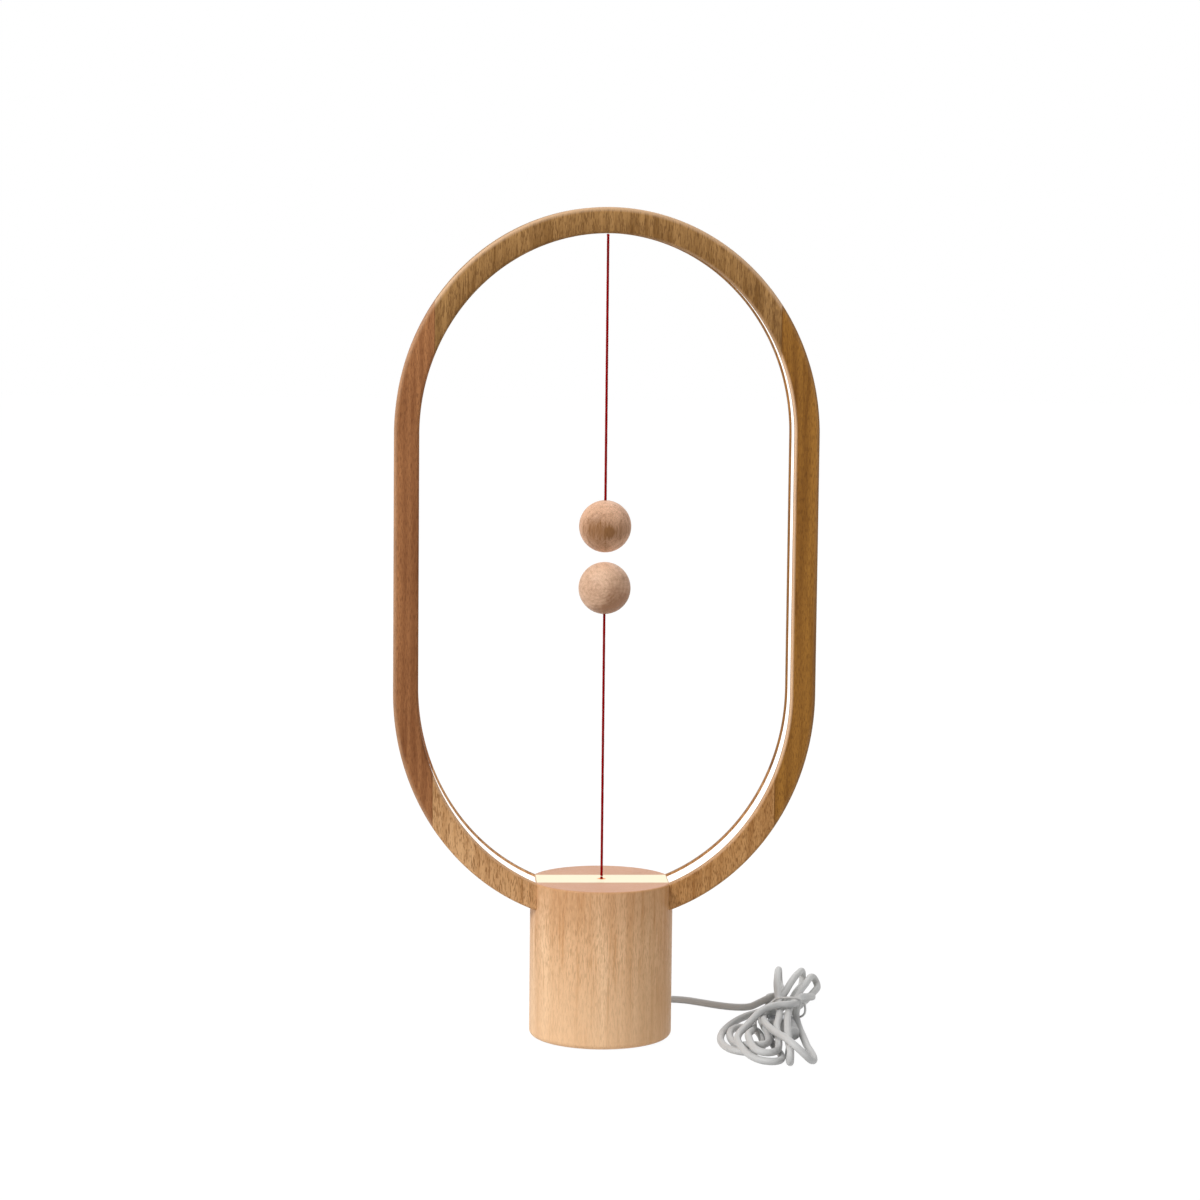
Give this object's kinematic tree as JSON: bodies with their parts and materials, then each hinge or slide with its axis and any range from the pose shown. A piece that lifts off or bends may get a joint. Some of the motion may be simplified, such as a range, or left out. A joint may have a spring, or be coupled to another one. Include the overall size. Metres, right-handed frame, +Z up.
{
  "type": "magnetic balance lamp",
  "caption": "Table lamp: an upright oval wooden ring lit along its inner face on a round wooden base, switched by two magnetic wooden balls on threads.",
  "frame": {"origin": "middle of the base's underside, on the surface it stands on", "axes": "+Z up, +X to the right seen from the front, +Y to the back, where the cord leaves the base"},
  "size_m": [0.217, 0.162, 0.4],
  "materials": {
    "ring_wood": "oiled, satin",
    "side_wood": "oiled, satin",
    "base_wood": "oiled, satin",
    "ball_wood": "turned and oiled",
    "milky_plastic": "milky, lets light through",
    "cream_plastic": "milky, lets light through",
    "strip_film": "white film",
    "led": "clear dome over yellow phosphor",
    "circuit_green": "solder mask",
    "black_parts": "moulded",
    "white_nylon": "moulded",
    "black_abs": "moulded",
    "grey_plate": "fine texture",
    "iron": "zinc plated",
    "steel": "bright",
    "brass": "turned",
    "magnet": "nickel plated",
    "foot_rubber": "matt",
    "red_thread": "twisted and waxed",
    "grey_cord": "soft matt sheath",
    "tie_white": "coated wire",
    "plug_grey": "moulded"
  },
  "bodies": {
    "lamp": {"ring_top_board": "ring_wood", "ring_lower_left_board": "ring_wood", "ring_lower_right_board": "ring_wood", "ring_left_board": "side_wood", "ring_right_board": "side_wood", "base_body": "base_wood", "ring_diffuser": "milky_plastic", "base_diffuser": "cream_plastic", "led_flex_strip": "strip_film", "base_led_board": "strip_film", "led_chips": "led", "base_led_chips": "led", "circuit_board": "circuit_green", "board_parts": "black_parts", "board_spacers": "white_nylon", "switch_bracket": "black_abs", "microswitch": "black_abs", "bottom_cover": "grey_plate", "ballast_weight": "iron", "bottom_cover_screws": "steel", "board_screws": "steel", "bracket_screws": "steel", "switch_spring": "steel", "lever_pin": "steel", "usb_plug_shell": "steel", "cord_crimp": "steel", "upper_anchor": "brass", "foot_pad": "foot_rubber", "anchor_thread": "red_thread", "strip_wires": "red_thread", "cord_tube": "grey_cord", "cord_hank": "grey_cord", "inner_lead": "grey_cord", "cord_tie": "tie_white", "usb_plug_tongue": "tie_white", "usb_plug_body": "plug_grey", "strain_relief": "plug_grey"},
    "upper_knot": {"upper_knot": "red_thread"},
    "upper_thread": {"upper_thread": "red_thread"},
    "upper_ball": {"upper_ball": "ball_wood", "upper_magnet": "magnet", "upper_ball_plug": "ball_wood"},
    "switch_slider": {"switch_slider": "white_nylon", "pull_thread": "red_thread"},
    "lower_knot": {"lower_knot": "red_thread"},
    "lower_thread": {"lower_thread": "red_thread"},
    "lower_ball": {"lower_ball": "ball_wood", "lower_magnet": "magnet", "lower_ball_plug": "ball_wood"},
    "switch_lever": {"switch_lever": "steel"},
    "switch_button": {"switch_button": "black_parts"}
  },
  "joints": [
    {"name": "upper_sway", "type": "hinge", "parent": "lamp", "child": "upper_knot", "pos_m": [0, 0, 0.3867], "axis": [0, 1, 0], "range_deg": [-32, 32]},
    {"name": "upper_swing", "type": "hinge", "parent": "upper_knot", "child": "upper_thread", "pos_m": [0, 0, 0.3867], "axis": [1, 0, 0], "range_deg": [-75, 75]},
    {"name": "upper_twist", "type": "hinge", "parent": "upper_thread", "child": "upper_ball", "pos_m": [0, 0, 0.24823], "axis": [0, 0, 1], "range_deg": [-180, 180]},
    {"name": "switch_pull", "type": "slide", "parent": "lamp", "child": "switch_slider", "axis": [0, 0, 1], "range_m": [-0.0012, 0], "deforming": ["switch_spring"]},
    {"name": "lower_sway", "type": "hinge", "parent": "switch_slider", "child": "lower_knot", "pos_m": [0, 0, 0.079], "axis": [0, 1, 0], "range_deg": [-32, 32]},
    {"name": "lower_swing", "type": "hinge", "parent": "lower_knot", "child": "lower_thread", "pos_m": [0, 0, 0.079], "axis": [1, 0, 0], "range_deg": [-80, 80]},
    {"name": "lower_twist", "type": "hinge", "parent": "lower_thread", "child": "lower_ball", "pos_m": [0, 0, 0.21852], "axis": [0, 0, 1], "range_deg": [-180, 180]},
    {"name": "lever_tilt", "type": "hinge", "parent": "lamp", "child": "switch_lever", "pos_m": [0.0145, 0, 0.0359], "axis": [0, 1, 0], "range_deg": [-8, 0]},
    {"name": "button_press", "type": "slide", "parent": "lamp", "child": "switch_button", "axis": [0, 0, 1], "range_m": [-0.0008, 0]}
  ],
  "couplings": [
    {"joint": "lever_tilt", "follows": "switch_pull", "rad_per_m": 100},
    {"joint": "button_press", "follows": "switch_pull", "ratio": 0.5}
  ]
}
